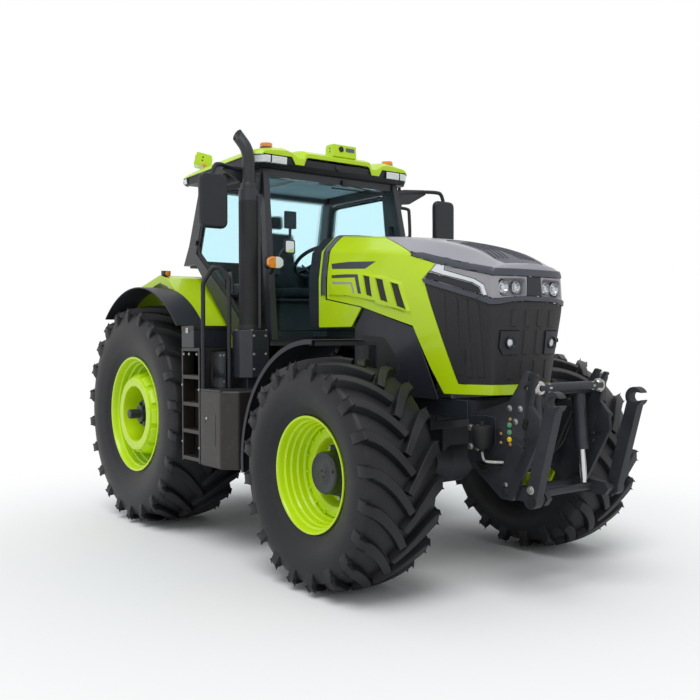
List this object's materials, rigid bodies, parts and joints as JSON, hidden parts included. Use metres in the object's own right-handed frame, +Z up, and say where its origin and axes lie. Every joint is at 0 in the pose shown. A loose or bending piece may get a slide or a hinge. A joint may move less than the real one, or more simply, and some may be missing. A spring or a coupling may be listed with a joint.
{
  "type": "farm tractor",
  "caption": "Four-wheel-drive row-crop tractor with a glazed cab, a folding front lift linkage, a rear linkage, steering, opening doors and a tilting hood.",
  "frame": {"origin": "centre of the bounding box in X and Y, at ground level under the tyres", "axes": "+X forward, +Y to the machine's left, +Z up"},
  "size_m": [5.2664, 2.62, 3.3249],
  "materials": {
    "lime_paint": "gloss lime paint",
    "charcoal_paint": "satin charcoal paint",
    "silver_paint": "metallic silver-grey paint",
    "tyre": "moulded tyre rubber",
    "cast_iron": "painted castings",
    "black_plastic": "grained black plastic",
    "tinted_glass": "green-tinted safety glass",
    "lamp_lens": "clear lamp lenses",
    "amber_lens": "amber lens",
    "fabric": "seat fabric",
    "steel": "bright steel",
    "aluminium": "cast aluminium core"
  },
  "bodies": {
    "chassis": {"engine_block": "cast_iron", "radiator": "aluminium", "front_frame": "charcoal_paint", "gearbox": "cast_iron", "rear_axle_housing": "cast_iron", "front_axle": "cast_iron", "cowl": "lime_paint", "side_panels": "black_plastic", "cab_frame": "charcoal_paint", "cab_floor": "black_plastic", "cab_windows": "tinted_glass", "cab_roof": "lime_paint", "roof_fascia": "black_plastic", "seat_base": "black_plastic", "seat_cushions": "fabric", "dashboard": "black_plastic", "rear_fender_panels": "lime_paint", "fender_extensions": "black_plastic", "tanks": "black_plastic", "ladders": "charcoal_paint", "handrails": "black_plastic", "exhaust": "charcoal_paint", "side_boxes": "charcoal_paint", "mirrors": "black_plastic", "roof_cameras": "lime_paint", "beacons": "amber_lens", "indicator_lamps": "black_plastic", "front_linkage_frame": "charcoal_paint", "front_lift_barrels": "charcoal_paint", "rear_hitch": "charcoal_paint"},
    "hood": {"hood_shell": "lime_paint", "hood_top_panel": "silver_paint", "grille": "black_plastic", "headlight_unit": "silver_paint"},
    "steering_wheel": {"steering_wheel": "black_plastic"},
    "tie_rod": {"tie_rod": "charcoal_paint"},
    "front_rocker": {"front_rocker": "charcoal_paint"},
    "front_lift_rods": {"front_lift_rods": "steel"},
    "rear_lift_arms": {"rear_lift_arms": "charcoal_paint"},
    "rear_lower_links": {"rear_lower_links": "charcoal_paint"},
    "rear_lift_rods": {"rear_lift_rods": "charcoal_paint"},
    "rear_top_link": {"rear_top_link": "charcoal_paint"},
    "knuckle_right": {"knuckle_right": "cast_iron", "front_fender_right": "black_plastic"},
    "wheel_front_right": {"front_tyre_right": "tyre", "front_wheel_right": "lime_paint"},
    "wheel_rear_right": {"rear_tyre_right": "tyre", "rear_wheel_right": "lime_paint"},
    "door_right": {"door_right": "tinted_glass"},
    "front_link_right": {"front_link_right": "charcoal_paint"},
    "knuckle_left": {"knuckle_left": "cast_iron", "front_fender_left": "black_plastic"},
    "wheel_front_left": {"front_tyre_left": "tyre", "front_wheel_left": "lime_paint"},
    "wheel_rear_left": {"rear_tyre_left": "tyre", "rear_wheel_left": "lime_paint"},
    "door_left": {"door_left": "tinted_glass"},
    "front_link_left": {"front_link_left": "charcoal_paint"}
  },
  "joints": [
    {"name": "knuckle_right_steer", "type": "hinge", "parent": "chassis", "child": "knuckle_right", "pos_m": [1.2545, -0.84, 0.761], "axis": [0, 0, 1], "range_deg": [-28, 28]},
    {"name": "wheel_front_right_roll", "type": "hinge", "parent": "knuckle_right", "child": "wheel_front_right", "pos_m": [1.2545, -0.99, 0.761], "axis": [0, 1, 0], "continuous": true},
    {"name": "wheel_rear_right_roll", "type": "hinge", "parent": "chassis", "child": "wheel_rear_right", "pos_m": [-1.4895, -0.92, 0.968], "axis": [0, 1, 0], "continuous": true},
    {"name": "knuckle_left_steer", "type": "hinge", "parent": "chassis", "child": "knuckle_left", "pos_m": [1.2545, 0.84, 0.761], "axis": [0, 0, 1], "range_deg": [-28, 28]},
    {"name": "wheel_front_left_roll", "type": "hinge", "parent": "knuckle_left", "child": "wheel_front_left", "pos_m": [1.2545, 0.99, 0.761], "axis": [0, 1, 0], "continuous": true},
    {"name": "wheel_rear_left_roll", "type": "hinge", "parent": "chassis", "child": "wheel_rear_left", "pos_m": [-1.4895, 0.92, 0.968], "axis": [0, 1, 0], "continuous": true},
    {"name": "tie_rod_swing", "type": "hinge", "parent": "knuckle_right", "child": "tie_rod", "pos_m": [1.0345, -0.84, 0.651], "axis": [0, 0, 1], "range_deg": [-30, 30]},
    {"name": "steering_wheel_turn", "type": "hinge", "parent": "chassis", "child": "steering_wheel", "pos_m": [-0.3595, 0, 2.3], "axis": [-0.5736, 0, 0.8192], "range_deg": [-400, 400]},
    {"name": "hood_hinge", "type": "hinge", "parent": "chassis", "child": "hood", "pos_m": [0.3905, 0, 2.416], "axis": [0, -1, 0], "range_deg": [0, 50]},
    {"name": "door_left_hinge", "type": "hinge", "parent": "chassis", "child": "door_left", "pos_m": [-1.2035, 0.7475, 2.39939], "axis": [0.2288, -0.0577, 0.9718], "range_deg": [0, 65]},
    {"name": "door_right_hinge", "type": "hinge", "parent": "chassis", "child": "door_right", "pos_m": [-1.2035, -0.7475, 2.39939], "axis": [-0.2288, -0.0577, -0.9718], "range_deg": [0, 65]},
    {"name": "front_lift", "type": "hinge", "parent": "chassis", "child": "front_rocker", "pos_m": [2.1615, 0, 0.679], "axis": [0, -1, 0], "range_deg": [-20, 32]},
    {"name": "front_lift_rod_slide", "type": "slide", "parent": "chassis", "child": "front_lift_rods", "axis": [-0.0748, 0, 0.9972], "range_m": [-0.0513, 0.08133]},
    {"name": "front_link_right_fold", "type": "hinge", "parent": "front_rocker", "child": "front_link_right", "pos_m": [2.4105, -0.36, 0.672], "axis": [0, 1, 0], "range_deg": [0, 78]},
    {"name": "front_link_left_fold", "type": "hinge", "parent": "front_rocker", "child": "front_link_left", "pos_m": [2.4105, 0.36, 0.672], "axis": [0, 1, 0], "range_deg": [0, 78]},
    {"name": "rear_lift", "type": "hinge", "parent": "chassis", "child": "rear_lift_arms", "pos_m": [-1.7695, 0, 1.16], "axis": [0, 1, 0], "range_deg": [-18, 32]},
    {"name": "rear_lower_link_swing", "type": "hinge", "parent": "chassis", "child": "rear_lower_links", "pos_m": [-1.7695, 0, 0.56], "axis": [0, 1, 0], "range_deg": [-19, 33]},
    {"name": "rear_lift_rod_swing", "type": "hinge", "parent": "rear_lift_arms", "child": "rear_lift_rods", "pos_m": [-2.1695, 0, 1.16], "axis": [0, 1, 0], "range_deg": [-33, 19]},
    {"name": "rear_top_link_fold", "type": "hinge", "parent": "chassis", "child": "rear_top_link", "pos_m": [-1.8595, 0, 0.9], "axis": [0, -1, 0], "range_deg": [0, 95]}
  ],
  "couplings": [
    {"joint": "knuckle_left_steer", "follows": "knuckle_right_steer", "ratio": 1},
    {"joint": "tie_rod_swing", "follows": "knuckle_right_steer", "ratio": -1},
    {"joint": "steering_wheel_turn", "follows": "knuckle_right_steer", "ratio": 14},
    {"joint": "front_lift_rod_slide", "follows": "front_lift", "m_per_rad": 0.14337},
    {"joint": "rear_lower_link_swing", "follows": "rear_lift", "ratio": 1},
    {"joint": "rear_lift_rod_swing", "follows": "rear_lift", "ratio": -1}
  ]
}
